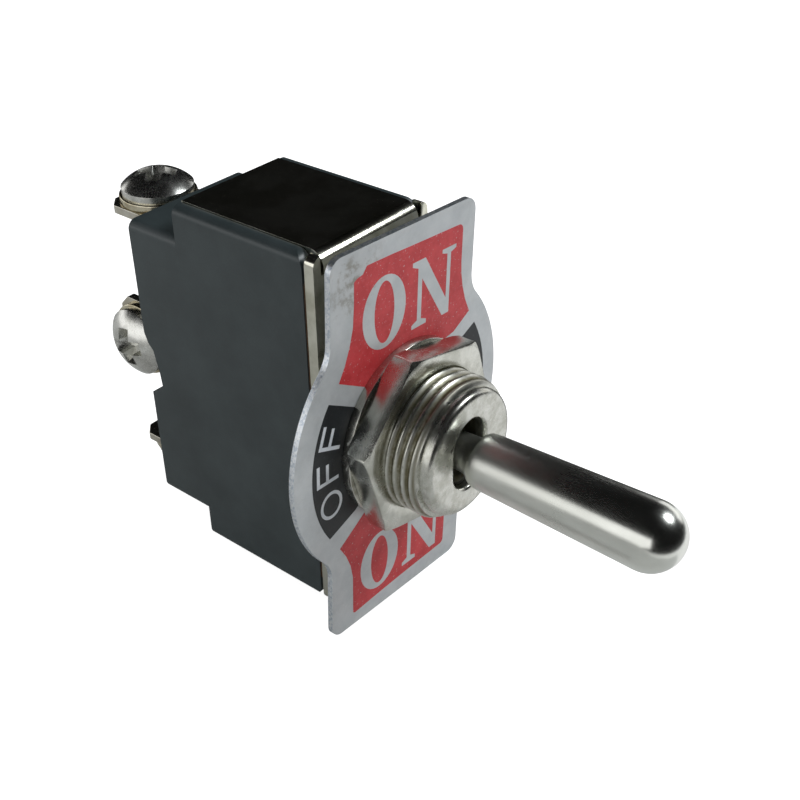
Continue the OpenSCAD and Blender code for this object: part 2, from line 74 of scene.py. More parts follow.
class Wire:
    """One socket of a node tree, with the arithmetic that its Math nodes do."""

    def __init__(self, graph, socket):
        self.graph, self.socket = graph, socket

    def math(self, operation, *values):
        return self.graph.add("ShaderNodeMath", {"operation": operation}, dict(enumerate(values)))

    def __add__(self, other):
        return self.math("ADD", self, other)

    def __sub__(self, other):
        return self.math("SUBTRACT", self, other)

    def __rsub__(self, other):
        return self.math("SUBTRACT", other, self)

    def __mul__(self, other):
        return self.math("MULTIPLY", self, other)

    def __truediv__(self, other):
        return self.math("DIVIDE", self, other)

    def __pow__(self, other):
        return self.math("POWER", self, other)

    __radd__, __rmul__ = __add__, __mul__

    def ease(self, low, high):
        """0 below low and 1 above high, with a soft step between them."""
        return self.graph.add(
            "ShaderNodeMapRange", {"interpolation_type": "SMOOTHSTEP"},
            {"Value": self, "From Min": low, "From Max": high})

    def between(self, dark, light):
        """The colour that this value picks between two colours."""
        return self.graph.add(
            "ShaderNodeMix", {"data_type": "RGBA"}, {0: self, 6: dark, 7: light}, 2)


class Graph:
    """A node tree that is built one node at a time."""

    def __init__(self, tree):
        self.tree = tree

    def feed(self, socket, value):
        if isinstance(value, Wire):
            self.tree.links.new(value.socket, socket)
        elif hasattr(socket.default_value, "__len__") and len(socket.default_value) == 4:
            socket.default_value = tuple(value) + (1,) * (4 - len(value))
        else:
            socket.default_value = value

    def add(self, kind, settings=(), inputs=(), out=0):
        node = self.tree.nodes.new(kind)
        for name, value in dict(settings).items():
            setattr(node, name, value)
        for name, value in dict(inputs).items():
            self.feed(node.inputs[name], value)
        return Wire(self, node.outputs[out])


class Finish(Graph):
    """A material of one Principled shader, with the piece's own place in millimetres."""

    def __init__(self, name, **constants):
        self.material = bpy.data.materials.new(name)
        self.material.use_nodes = True
        super().__init__(self.material.node_tree)
        self.shader = self.tree.nodes["Principled BSDF"]
        for socket, value in constants.items():
            self.set(socket.replace("_", " ").title().replace("Ior", "IOR"), value)
        place = self.add("ShaderNodeTexCoord", out="Object")
        self.mm = self.add("ShaderNodeVectorMath", {"operation": "SCALE"}, {0: place, "Scale": 1000})

    def set(self, socket, value):
        self.feed(self.shader.inputs[socket], value)

    def noise(self, size, detail=2, rough=0.5, stretch=(1, 1, 1)):
        """Cloudy value from 0 to 1 whose spots are about so many millimetres wide."""
        scale = [1 / (size * s) for s in stretch]
        place = self.add("ShaderNodeVectorMath", {"operation": "MULTIPLY"}, {0: self.mm, 1: scale})
        return self.add("ShaderNodeTexNoise", (),
                        {"Vector": place, "Scale": 1, "Detail": detail, "Roughness": rough})

    def relief(self, height, depth):
        """Bumps of the surface, so many millimetres deep."""
        self.set("Normal", self.add("ShaderNodeBump", (),
                                    {"Height": height, "Strength": 1, "Distance": depth / 1000}))


def settled(piece):
    """The piece with its modifiers worked into a plain mesh."""
    graph = bpy.context.evaluated_depsgraph_get()
    mesh = bpy.data.meshes.new_from_object(piece.evaluated_get(graph))
    piece.modifiers.clear()
    piece.data = mesh
    return piece


same_point, flat_angle = 2e-6, math.radians(0.6)


def eased(node, width, finish, steps=2, angle=28):
    """Stand-in for a CAD piece with its edges broken by a small round."""
    source = frame["nodes"][node]
    shape = bmesh.new()
    shape.from_mesh(source.data)
    bmesh.ops.remove_doubles(shape, verts=shape.verts, dist=same_point)
    bmesh.ops.dissolve_limit(
        shape, angle_limit=flat_angle, verts=shape.verts, edges=shape.edges)
    bmesh.ops.triangulate(shape, faces=shape.faces)
    piece = placed(node + "_eased", shape, finish, scale=1)
    piece.data.shade_smooth()
    bevel = piece.modifiers.new("Edges", "BEVEL")
    bevel.width, bevel.segments = width / 1000, steps
    bevel.limit_method, bevel.angle_limit = "ANGLE", math.radians(angle)
    bevel.miter_outer = "MITER_ARC"
    weigh = piece.modifiers.new("Flat faces", "WEIGHTED_NORMAL")
    weigh.mode, weigh.weight = "FACE_AREA", 100
    settled(piece)
    belongs(piece, node)
    return piece


def placed(name, shape, finish, scale=0.001, sharp=None):
    """Object of a bmesh with one finish, drawn in millimetres unless its scale says otherwise."""
    mesh = bpy.data.meshes.new(name)
    bmesh.ops.scale(shape, vec=(scale,) * 3, verts=shape.verts)
    shape.to_mesh(mesh)
    shape.free()
    piece = bpy.data.objects.new(name, mesh)
    bpy.context.scene.collection.objects.link(piece)
    mesh.materials.append(finish.material)
    if sharp is not None:
        mesh.shade_smooth()
        mesh.set_sharp_from_angle(angle=math.radians(sharp))
    return piece


bodies = {n: b for b, nodes in frame["record"]["behaviour"]["bodies"].items() for n in nodes}


def belongs(piece, *nodes, body=None):
    """The piece stands for these CAD pieces and moves with the body of the first."""
    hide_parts(*nodes)
    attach(piece, body or bodies[nodes[0]])


phenolic = Finish("phenolic", ior=1.6)
cloud = phenolic.noise(5.5, 4, 0.6)
fine = phenolic.noise(0.16, 3, 0.7)
phenolic.set("Base Color", (cloud * 0.8 + fine * 0.2).ease(0.3, 0.75).between(
    (0.0340, 0.0490, 0.0530), (0.0600, 0.0810, 0.0860)))
phenolic.set("Roughness", 0.30 + cloud * 0.12 + fine * 0.06)
phenolic.relief(fine, 0.004)
housing = eased("housing", 0.14, phenolic, steps=3)

# ---- Mounting frame ----
# A strip of plated steel is bent over the housing's front and its two tabs lie along the rails.
# Its edges are sheared and the plating is bright, with fine drawing lines along the tabs.


def plating(name, dull, bright, rough, cloud_size=4.0, grain=0.25, stretch=(1, 1, 1), depth=0.003):
    """Plated metal: stained in clouds, with a fine grain that dulls it here and there."""
    metal = Finish(name, metallic=1.0)
    stain = metal.noise(cloud_size, 4, 0.62)
    fine = metal.noise(grain, 3, 0.65, stretch)
    metal.set("Base Color", stain.ease(0.36, 0.62).between(dull, bright))
    metal.set("Roughness", rough + (fine - 0.5) * rough * 0.7 + stain.ease(0.5, 0.8) * rough * 0.5)
    metal.relief(fine, depth)
    return metal


frame_plating = plating("frame_plating", (0.58, 0.57, 0.46), (0.84, 0.83, 0.72), 0.15,
                        stretch=(1, 14, 1))
mounting_frame = eased("mounting_frame", 0.16, frame_plating, steps=3)

# ---- Insulating sheet ----
# A thin sheet of brown vulcanised fibre keeps the frame off the contacts. It is punched from
# board, so its face shows short paper fibres.

fibre = Finish("vulcanised_fibre", roughness=0.8)
strands = fibre.noise(0.3, 4, 0.7, (4, 1, 1)) * 0.6 + fibre.noise(2.5, 2) * 0.4
fibre.set("Base Color", strands.ease(0.3, 0.7).between((0.060, 0.032, 0.016), (0.14, 0.080, 0.040)))
fibre.set("Roughness", 0.7 + strands * 0.2)
fibre.relief(strands, 0.02)


def dressed(node, finish):
    """Gives a CAD piece whose shape is right its finish."""
    mesh = frame["nodes"][node].data
    mesh.materials.clear()
    mesh.materials.append(finish.material)


dressed("insulating_sheet", fibre)

# ---- Bushing ----
# Turned from brass bar and nickel plated: a fine rolled thread with a plain nose in front, an
# obround mouth for the lever, a ball seat inside, and a flange staked over behind the frame.
# The thread is coloured darker olive below its crests, the bore behind the mouth is painted dark as shade,
# and a keyway runs along its underside.


def circle(radius, y, angles, flat=1.0):
    return [(radius * math.cos(a), y, radius * flat * math.sin(a)) for a in angles]


def skin(name, rings, finish, wrap=True, sharp=35):
    """Closed surface through rings of points of one count, given in millimetres."""
    shape = bmesh.new()
    loops = [[shape.verts.new(p) for p in ring] for ring in rings]
    pairs = list(zip(loops, loops[1:] + loops[:1] if wrap else loops[1:]))
    for first, second in pairs:
        for i in range(len(first)):
            j = (i + 1) % len(first)
            shape.faces.new((first[i], first[j], second[j], second[i]))
    bmesh.ops.remove_doubles(shape, verts=shape.verts, dist=1e-4)
    bmesh.ops.recalc_face_normals(shape, faces=shape.faces)
    return placed(name, shape, finish, sharp=sharp)


thread_d, thread_pitch, thread_depth = 11.9, 0.794, 0.27
nose_d, mouth_w, mouth_h = 10.7, 4.0, 6.2
keyway_w, keyway_depth = 1.8, 0.9
thread_start, thread_fade = -8.6, 0.55
face_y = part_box("threaded_bushing")[0].y * 1000
flange_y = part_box("threaded_bushing")[1].y * 1000
pivot_y, seat_r = -3.6, 3.75
turn_steps = 96
around = [2 * math.pi * i / turn_steps for i in range(turn_steps)]
flange_r, spigot_r, frame_t = 5.5, 5.1, 0.9


def obround(width, height, y, angles):
    """Slot with round ends, at the same angles as the circles round it."""
    ring = []
    for a in angles:
        c, s = math.cos(a), math.sin(a)
        r, b = width / 2, (height - width) / 2
        reach = r / abs(c) if abs(c) > 1e-9 else 1e9
        if reach * abs(s) > b:
            reach = b * abs(s) + math.sqrt(max(r * r - (b * c) ** 2, 0))
        ring.append((reach * c, y, reach * s))
    return ring


thread_profile = [(0, 1), (0.10, 1), (0.16, 0.93), (0.42, 0.07), (0.48, 0),
                  (0.64, 0), (0.70, 0.07), (0.96, 0.93)]


def thread_rings():
    """Rows of a helical thread from the nose back to the frame, let in for the keyway underneath."""
    crest, root = thread_d / 2, thread_d / 2 - thread_depth
    turns = int(-thread_start / thread_pitch) + 2
    rows = []
    for turn in range(turns):
        for along, height in thread_profile:
            row = []
            for i, a in enumerate(around):
                y = thread_start + thread_pitch * (turn + along - 1 + i / turn_steps)
                y = min(max(y, thread_start), 0)
                fade = min((y - thread_start) / thread_fade, 1)
                r = root + (crest - root) * height * fade
                r = nose_d / 2 if y <= thread_start else max(r, nose_d / 2)
                if math.sin(a) < 0 and abs(r * math.cos(a)) < keyway_w / 2:
                    r = min(r, (crest - keyway_depth) / -math.sin(a))
                row.append((r * math.cos(a), y, r * math.sin(a)))
            rows.append(row)
    return rows


def thread_skin(name, finish):
    """The bushing: plain rings for nose, mouth, bore and flange, and the helix joined a pitch on."""
    nose_r = nose_d / 2
    rim = [(0.0, 0.62), (0.04, 0.36), (0.16, 0.16), (0.36, 0.04), (0.66, 0.0)]
    front = [circle(nose_r, thread_start - 0.28, around)]
    front += [circle(nose_r - inward, face_y + back, around) for inward, back in rim]
    front += [circle(nose_r - 1.0, face_y, around)]
    lip = [(0.34, 0.0), (0.17, 0.05), (0.05, 0.17), (0.0, 0.36)]
    front += [obround(mouth_w + 2 * out, mouth_h + 2 * out, face_y + back, around)
              for out, back in lip]
    wall = obround(mouth_w, mouth_h, 0, around)
    cave = []
    for part in (0, 0.35, 0.7, 1):
        ring = []
        for x, _, z in wall:
            r = math.hypot(x, z)
            grown = r + (seat_r - r) * part
            sunk = math.sqrt(max(seat_r ** 2 - grown ** 2, 0))
            ring.append((x * grown / r, pivot_y - sunk, z * grown / r))
        cave.append(ring)
    back = [circle(seat_r, flange_y, around), circle(flange_r - 0.1, flange_y, around),
            circle(flange_r, flange_y - 0.1, around), circle(flange_r, frame_t, around),
            circle(spigot_r, frame_t, around), circle(spigot_r, 0, around)]
    rings = thread_rings()
    shape = bmesh.new()
    thread = [[shape.verts.new(p) for p in ring] for ring in rings]
    last = len(thread) - 1
    for k in range(last):
        for i in range(turn_steps):
            if i < turn_steps - 1:
                quad = (thread[k][i], thread[k][i + 1], thread[k + 1][i + 1], thread[k + 1][i])
            else:
                low, high = min(k + len(thread_profile), last), min(k + len(thread_profile) + 1, last)
                quad = (thread[k][i], thread[low][0], thread[high][0], thread[k + 1][i])
            if len(set(quad)) == 4:
                shape.faces.new(quad)
            elif len(set(quad)) == 3:
                shape.faces.new(list(dict.fromkeys(quad)))
    plain = [[shape.verts.new(p) for p in ring] for ring in
             [rings[0]] + front + cave + back + [rings[-1]]]
    for first, second in zip(plain, plain[1:]):
        for i in range(turn_steps):
            j = (i + 1) % turn_steps
            shape.faces.new((first[i], second[i], second[j], first[j]))
    bmesh.ops.remove_doubles(shape, verts=shape.verts, dist=1e-4)
    bmesh.ops.recalc_face_normals(shape, faces=shape.faces)
    return placed(name, shape, finish, sharp=50)


bushing_plating = Finish("bushing_plating", metallic=1.0)
x, y, z = (bushing_plating.add("ShaderNodeSeparateXYZ", (), {0: bushing_plating.mm}, out=i)
           for i in range(3))
radius = (x * x + z * z) ** 0.5
# Depth below the crests to which the thread is coloured darker olive.
dark_root_depth = 0.24
groove = radius.ease(thread_d / 2, thread_d / 2 - dark_root_depth) * y.ease(thread_start, thread_start + 0.3)
# The bore behind the mouth is painted dark: painted shade in the hole.
bore_shade = radius.ease(3.3, 1.8) * y.ease(face_y + 0.1, face_y + 0.5)
grime = bushing_plating.noise(1.2, 4, 0.7)
tool = bushing_plating.noise(0.14, 2, 0.6, (8, 1, 8))
# Darker olive at the thread roots, plus the painted shade in the bore.
dark_roots_and_bore_shade = groove * (0.55 + grime.ease(0.3, 0.6) * 0.45)
dark_roots_and_bore_shade = dark_roots_and_bore_shade + (1 - dark_roots_and_bore_shade) * bore_shade * 0.5
shade = grime.ease(0.3, 0.7).between((0.50, 0.50, 0.44), (0.72, 0.72, 0.67))
bushing_plating.set("Base Color", bushing_plating.add(
    "ShaderNodeMix", {"data_type": "RGBA"}, {0: dark_roots_and_bore_shade, 6: shade, 7: (0.19, 0.175, 0.11)}, 2))
bushing_plating.set("Roughness", 0.20 + tool * 0.16 + dark_roots_and_bore_shade * 0.30)
bushing_plating.relief(tool * (0.4 + groove) + grime * 0.5, 0.012)
bushing = thread_skin("bushing", bushing_plating)
belongs(bushing, "threaded_bushing")

# ---- Lever and cross pin ----
# The bat is turned in one piece with its ball and tail, polished and nickel plated, and it
# swings on a plain steel pin through the bushing. Fingers keep its end brighter than its root.

lever_plating = Finish("lever_plating", metallic=1.0)
smear = lever_plating.noise(3.5, 4, 0.6, (1, 2.5, 1))
hair = lever_plating.noise(0.12, 3, 0.7, (1, 16, 1))
pits = lever_plating.noise(0.22, 1, 0.5)
lever_plating.set("Base Color", smear.ease(0.32, 0.66).between((0.70, 0.71, 0.66), (0.86, 0.87, 0.82)))
along = lever_plating.add("ShaderNodeSeparateXYZ", (), {0: lever_plating.mm}, out=1)
bright_end, dull_end = -26.0, -10.0
dullness = along.ease(bright_end, dull_end)
lever_plating.set("Roughness", 0.16 + dullness * 0.15 + hair * 0.10 + smear.ease(0.5, 0.75) * 0.06)
lever_plating.relief(hair * 0.6 + pits * 0.4, 0.003)

tip_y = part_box("toggle_lever")[0].y * 1000
tail_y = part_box("toggle_lever")[1].y * 1000
tip_r, root_r, neck_r, ball_r, tail_r, bore_r = 2.72, 2.26, 1.45, 3.6, 2.2, 1.3
dome_y = tip_y + tip_r
bore_y = pivot_y + 3.2
slope = math.asin((tip_r - root_r) / (face_y - 1.25 - dome_y))
outline = [(0, tip_y)]
outline += [(tip_r * math.sin(a), dome_y - tip_r * math.cos(a))
            for a in [(math.pi / 2 + slope) * i / 14 for i in range(1, 15)]]
# A third number flattens a ring across the travel, so that the neck clears the mouth.
outline += [(root_r + 0.06, face_y - 2.0), (root_r + 0.04, face_y - 1.6), (root_r, face_y - 1.3),
            (root_r - 0.08, face_y - 1.1, 0.98), (root_r - 0.20, face_y - 0.9, 0.92),
            (root_r - 0.34, face_y - 0.65, 0.83), (root_r - 0.46, face_y - 0.3, 0.79),
            (root_r - 0.52, face_y + 0.2, 0.80), (root_r - 0.58, face_y + 0.9, 0.84),
            (neck_r, face_y + 2.2)]
neck_turn = math.asin(neck_r / ball_r)
outline += [(ball_r * math.sin(a), pivot_y - ball_r * math.cos(a))
            for a in [neck_turn + (math.pi / 2 - neck_turn) * i / 12 for i in range(13)]]
outline += [(ball_r - 0.05, pivot_y + 0.05), (tail_r, pivot_y + 0.1), (tail_r, tail_y - 0.15),
            (tail_r - 0.15, tail_y), (bore_r, tail_y), (bore_r, bore_y), (0, bore_y)]
lever = skin("bat_lever", [circle(r, y, around, *flat) for r, y, *flat in outline], lever_plating,
             wrap=False)
belongs(lever, "toggle_lever")

pin_steel = plating("pin_steel", (0.42, 0.42, 0.42), (0.58, 0.58, 0.57), 0.28, 1.5, 0.1, (8, 1, 1))
dressed("lever_pin", pin_steel)

# ---- Snap action ----
# Inside, a spring in the tail presses a nylon plunger on a formed bronze rocker, which carries
# a silver button at each end and throws over the middle terminal's cheeks.

spring_steel = plating("spring_steel", (0.36, 0.37, 0.39), (0.56, 0.57, 0.60), 0.24, 1.0, 0.08)
nylon = Finish("nylon", roughness=0.45, ior=1.53)
milky = nylon.noise(1.0, 3, 0.6)
nylon.set("Base Color", milky.ease(0.3, 0.7).between((0.66, 0.62, 0.50), (0.80, 0.77, 0.68)))
nylon.set("Roughness", 0.36 + milky * 0.2)
nylon.relief(milky, 0.01)
bronze = plating("spring_bronze", (0.44, 0.24, 0.10), (0.70, 0.45, 0.22), 0.28, 1.8, 0.12, (1, 1, 9))
silver = plating("contact_silver", (0.62, 0.60, 0.55), (0.88, 0.87, 0.84), 0.22, 0.9, 0.08)
for node, finish in (("plunger_spring", spring_steel), ("plunger", nylon), ("rocker", bronze),
                     ("rocker_button_upper", silver), ("rocker_button_lower", silver),
                     ("fixed_contact_upper", silver), ("fixed_contact_lower", silver)):
    dressed(node, finish)
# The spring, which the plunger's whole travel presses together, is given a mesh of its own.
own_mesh(frame["nodes"]["plunger_spring"])

# ---- Terminals ----
# Three blanks of brass strip, stamped, bent and plated, come out through the rear floor. The
# outer two lie flat to the ends and the middle one stands on edge, each with a tapped hole.

terminal_plating = plating("terminal_plating", (0.56, 0.51, 0.40), (0.78, 0.75, 0.66), 0.20, 3.0,
                           0.15, (1, 9, 1))
for node in ("upper_terminal", "middle_terminal", "lower_terminal"):
    terminal = eased(node, 0.10, terminal_plating)

# ---- Clamp washers ----
# A thick soft washer lies under each screw and clamps the wire. It is punched and tumbled, so its
# edges are rounded, and its plating has yellowed.

clamp_plating = plating("clamp_plating", (0.52, 0.45, 0.30), (0.74, 0.69, 0.53), 0.22, 1.6, 0.12)
for node in ("upper_washer", "middle_washer", "lower_washer"):
    washer = eased(node, 0.14, clamp_plating, steps=3)

# ---- Terminal screws ----
# Three pan-head steel screws, cold headed with a cross recess, then rolled and nickel plated.
# One tree makes the screw and stands a copy on each of three points with its own turn.


class Pattern(Graph):
    """A Geometry Nodes tree with named inputs."""

    def __init__(self, name):
        super().__init__(bpy.data.node_groups.new(name, "GeometryNodeTree"))
        self.sockets = {}
        self.tree.interface.new_socket("Geometry", in_out="OUTPUT", socket_type="NodeSocketGeometry")
        self.given = self.tree.nodes.new("NodeGroupInput")
        self.start = self.input("Places", "NodeSocketGeometry")

    def input(self, name, kind="NodeSocketFloat"):
        made = self.tree.interface.new_socket(name, in_out="INPUT", socket_type=kind)
        self.sockets[name] = made.identifier
        return Wire(self, self.given.outputs[name])

    def moved(self, mesh, place=(0, 0, 0), turn=(0, 0, 0)):
        return self.add("GeometryNodeTransform", (),
                        {"Geometry": mesh, "Translation": place, "Rotation": turn})

    def vector(self, x=0.0, y=0.0, z=0.0):
        return self.add("ShaderNodeCombineXYZ", (), {"X": x, "Y": y, "Z": z})

    def end(self, mesh, material):
        real = self.add("GeometryNodeRealizeInstances", (), {0: mesh})
        done = self.add("GeometryNodeSetMaterial", (), {"Geometry": real, "Material": material})
        out = self.tree.nodes.new("NodeGroupOutput")
        self.tree.links.new(done.socket, out.inputs[0])

    def join(self, *meshes):
        node = self.tree.nodes.new("GeometryNodeJoinGeometry")
        for mesh in meshes:
            self.tree.links.new(mesh.socket, node.inputs[0])
        return Wire(self, node.outputs[0])


screw = Pattern("terminal_screw")
head_d, head_h, rim_h = (screw.input(n) for n in ("Head Width", "Head Height", "Rim Height"))
cross_l, cross_w, cross_d = (screw.input("Cross " + n) for n in ("Length", "Width", "Depth"))
shank_d, shank_l, lead = (screw.input(n) for n in ("Shank Width", "Shank Length", "Thread Pitch"))
coat = screw.input("Plating", "NodeSocketMaterial")

rise = head_h - rim_h
dome = (head_d * head_d / 4 + rise * rise) / (rise * 2)
disc = screw.moved(
    screw.add("GeometryNodeMeshCylinder", (), {"Vertices": 64, "Radius": head_d / 2, "Depth": head_h}),
    screw.vector(z=head_h * -0.5))
ball = screw.moved(
    screw.add("GeometryNodeMeshUVSphere", (), {"Segments": 64, "Rings": 64, "Radius": dome}),
    screw.vector(z=dome * -1))
head = screw.add("GeometryNodeMeshBoolean", {"operation": "INTERSECT", "solver": "EXACT"}, {"Mesh 2": disc})
screw.tree.links.new(ball.socket, head.socket.node.inputs["Mesh 2"])
wing = screw.add("GeometryNodeMeshCube", (), {"Size": screw.vector(cross_l, cross_w, cross_d * 2)})
place = screw.add("GeometryNodeInputPosition")
px, py, pz = (screw.add("ShaderNodeSeparateXYZ", (), {0: place}, out=i) for i in range(3))
depth_share, taper = pz / cross_d, 0.55
narrow = 1 + depth_share.math("MINIMUM", depth_share, 0.0) * taper
wing = screw.add("GeometryNodeSetPosition", (), {
    "Geometry": wing, "Position": screw.vector(px * narrow, py * (0.6 + narrow * 0.4), pz)})
cut = screw.add("GeometryNodeMeshBoolean", {"operation": "DIFFERENCE", "solver": "EXACT"},
                {"Mesh 1": head, "Mesh 2": wing})
cross_wing = screw.moved(wing, turn=(0, 0, math.pi / 2))
screw.tree.links.new(cross_wing.socket, cut.socket.node.inputs["Mesh 2"])
core_share, ridge_share, helix_share = 0.44, 0.07, 0.43
shank = screw.moved(
    screw.add("GeometryNodeMeshCylinder", (), {
        "Vertices": 32, "Radius": shank_d * core_share, "Depth": shank_l}),
    screw.vector(z=(head_h + shank_l / 2) * -1))
helix = screw.add("GeometryNodeCurveSpiral", (), {
    "Resolution": 24, "Rotations": (shank_l - lead) / lead, "Start Radius": shank_d * helix_share,
    "End Radius": shank_d * helix_share, "Height": shank_l - lead})
section = screw.add("GeometryNodeCurvePrimitiveCircle", (), {
    "Resolution": 4, "Radius": shank_d * ridge_share})
ridge = screw.add("GeometryNodeCurveToMesh", (), {
    "Curve": helix, "Fill Caps": True, "Profile Curve": section})
ridge = screw.moved(ridge, screw.vector(z=(head_h + shank_l - lead * 0.4) * -1))
turn = screw.add("GeometryNodeInputNamedAttribute", {"data_type": "FLOAT_VECTOR"}, {"Name": "turn"})
copies = screw.add("GeometryNodeInstanceOnPoints", (), {
    "Points": screw.start, "Instance": screw.join(cut, shank, ridge), "Rotation": turn})
screw.end(copies, coat)

screw_plating = plating("screw_plating", (0.62, 0.62, 0.58), (0.84, 0.84, 0.80), 0.26, 1.4, 0.1)
upper, middle, lower = (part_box(n) for n in ("upper_screw", "middle_screw", "lower_screw"))
tops = [Vector((0, (upper[0].y + upper[1].y) / 2, upper[1].z)),
        Vector((middle[0].x, (middle[0].y + middle[1].y) / 2, 0)),
        Vector((0, (lower[0].y + lower[1].y) / 2, lower[0].z))]
twists = [math.radians(a) for a in (38, 10, 25)]
turns = [Matrix.Rotation(a, 3, axis) @ Matrix.Rotation(t, 3, "Z") for (a, axis), t in
         zip(((0, "X"), (-math.pi / 2, "Y"), (math.pi, "X")), twists)]
points = bpy.data.meshes.new("terminal_screws")
points.from_pydata(tops, [], [])
points.attributes.new("turn", "FLOAT_VECTOR", "POINT").data.foreach_set(
    "vector", [v for t in turns for v in t.to_euler()])
screws = bpy.data.objects.new("terminal_screws", points)
bpy.context.scene.collection.objects.link(screws)
modifier = screws.modifiers.new("Screws", "NODES")
modifier.node_group = screw.tree
sizes = {"Head Width": 6.3, "Head Height": 2.0, "Rim Height": 0.65, "Cross Length": 5.3, "Cross Width": 1.5,
         "Cross Depth": 1.6, "Shank Width": 3.5, "Shank Length": 3.1, "Thread Pitch": 0.6}
for name, value in sizes.items():
    modifier[screw.sockets[name]] = value / 1000
modifier[screw.sockets["Plating"]] = screw_plating.material
bevel = screws.modifiers.new("Edges", "BEVEL")
bevel.width, bevel.segments = 0.0001, 3
bevel.limit_method, bevel.angle_limit = "ANGLE", math.radians(38)
settled(screws)
screws.data.shade_smooth()
screws.data.set_sharp_from_angle(angle=math.radians(40))
belongs(screws, "upper_screw", "middle_screw", "lower_screw")

# ---- Nuts ----
# Two hex nuts of brass bar, faced and chamfered at both ends, clamp the panel and the plate.
# They are plated over the grain of the bar, and the plating is stained in places.

nut_plating = plating("nut_plating", (0.54, 0.54, 0.48), (0.74, 0.74, 0.68), 0.24, 2.2, 0.14, depth=0.010)


def hexagon(across, ease, turn, steps=4, along=12):
    """Hexagon with eased corners, and points close enough on its flats for a round chamfer."""
    points = []
    centre = (across / 2 - ease) / math.cos(math.pi / 6)
    for k in range(6):
        a = math.radians(turn + 60 * k)
        for i in range(steps + 1):
            b = a + math.radians(60 * i / steps - 30)
            points.append((centre * math.cos(a) + ease * math.cos(b),
                           centre * math.sin(a) + ease * math.sin(b)))
        b, c = a + math.pi / 6, a + math.pi / 3
        near = (centre * math.cos(c) + ease * math.cos(b), centre * math.sin(c) + ease * math.sin(b))
        last = points[-1]
        for i in range(1, along):
            t = (1 - math.cos(math.pi * i / along)) / 2
            points.append((last[0] + (near[0] - last[0]) * t, last[1] + (near[1] - last[1]) * t))
    return points


chamfer_slope = 1.7
bore_lead = [(5.74, 0.30), (6.02, 0.02), (6.06, 0)]


def hex_nut(node, turn, across=14.5, chamfer=0.26):
    """Nut between the CAD nut's two faces, with a lead-in at each end of its bore."""
    y0, y1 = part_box(node)[0].y * 1000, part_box(node)[1].y * 1000
    edge = hexagon(across, 0.22, turn - 30)
    face_r = across / 2 / math.cos(math.pi / 6) - chamfer * chamfer_slope
    polar = [(math.hypot(*p), math.atan2(p[1], p[0])) for p in edge]

    def ring(radius_of, y_of):
        return [(radius_of(r) * math.cos(a), y_of(r), radius_of(r) * math.sin(a)) for r, a in polar]

    def half(face, inward):
        drop = 1 / chamfer_slope
        return [
            *(ring(lambda r: bore, lambda r: face + inward * depth) for bore, depth in bore_lead),
            ring(lambda r: min(r - 0.12, face_r - 0.05), lambda r: face),
            ring(lambda r: min(r - 0.03, face_r), lambda r: face + inward * 0.03),
            ring(lambda r: r - 0.03 if r < face_r else r - 0.02,
                 lambda r: face + inward * (0.03 + max(r - 0.03 - face_r, 0) * drop)),
            ring(lambda r: r, lambda r: face + inward * (0.12 + max(r - face_r, 0) * drop)),
        ]

    front, rear = half(y0, 1), half(y1, -1)
    nut = skin(node + "_turned", front + rear[::-1], nut_plating, sharp=32)
    belongs(nut, node)


hex_nut("rear_nut", 40)
hex_nut("front_nut", 16.3)

# ---- Lock washer ----
# A thin spring-steel washer with inner teeth sits between the plate and the front nut. The nut
# hides all of it but the rim, which is plated and a little dull.

washer_plating = plating("washer_plating", (0.48, 0.47, 0.42), (0.70, 0.69, 0.64), 0.24, 2.0, 0.15)
lock_washer = eased("lock_washer", 0.07, washer_plating)

# ---- Indicator plate ----
# Punched from half-millimetre aluminium, with a satin face. Red enamel is printed round the bare
# letters of ON, and black enamel under the white letters of OFF. The punch has left a burr, and
# its edge faces are coloured a bright bluish white as a painted highlight.

label_turn = math.radians(-3)
plate_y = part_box("indicator_plate")[0].y * 1000

aluminium = Finish("aluminium_face", metallic=0.4)
dull = aluminium.noise(2.6, 5, 0.65)
grain = aluminium.noise(0.12, 3, 0.7)
smudge = aluminium.noise(1.1, 4, 0.7).ease(0.47, 0.68)
ax, ay, az = (aluminium.add("ShaderNodeSeparateXYZ", (), {0: aluminium.mm}, out=i) for i in range(3))
soil_x, soil_z = -5.5, 15.2
corner = ((ax - soil_x) * (ax - soil_x) + (az - soil_z) * (az - soil_z)) ** 0.5
soil = corner.ease(4.2, 0.6) * (0.15 + smudge * 0.65) + smudge * 0.07
face = dull.ease(0.3, 0.72).between((0.60, 0.63, 0.645), (0.71, 0.735, 0.745))
aluminium.set("Base Color", aluminium.add(
    "ShaderNodeMix", {"data_type": "RGBA"}, {0: soil, 6: face, 7: (0.30, 0.28, 0.24)}, 2))
aluminium.set("Roughness", 0.42 + grain * 0.18)
aluminium.relief(grain, 0.008)

burr_and_glint = Finish("aluminium_edge", metallic=0.9)
chatter = burr_and_glint.noise(0.28, 3, 0.75)
# The edge faces are coloured a brighter, bluer white than the face: a painted highlight along the punched
# edge.
burr_and_glint.set("Base Color", chatter.ease(0.35, 0.62).between((0.60, 0.67, 0.75), (0.94, 0.97, 1.0)))
burr_and_glint.set("Roughness", 0.22 + chatter * 0.3)
burr_and_glint.relief(chatter, 0.04)

plate = eased("indicator_plate", 0.12, aluminium, steps=3, angle=45)
plate.data.materials.append(burr_and_glint.material)
steep = 0.45
for polygon in plate.data.polygons:
    if abs(polygon.normal.y) < steep:
        polygon.material_index = 1


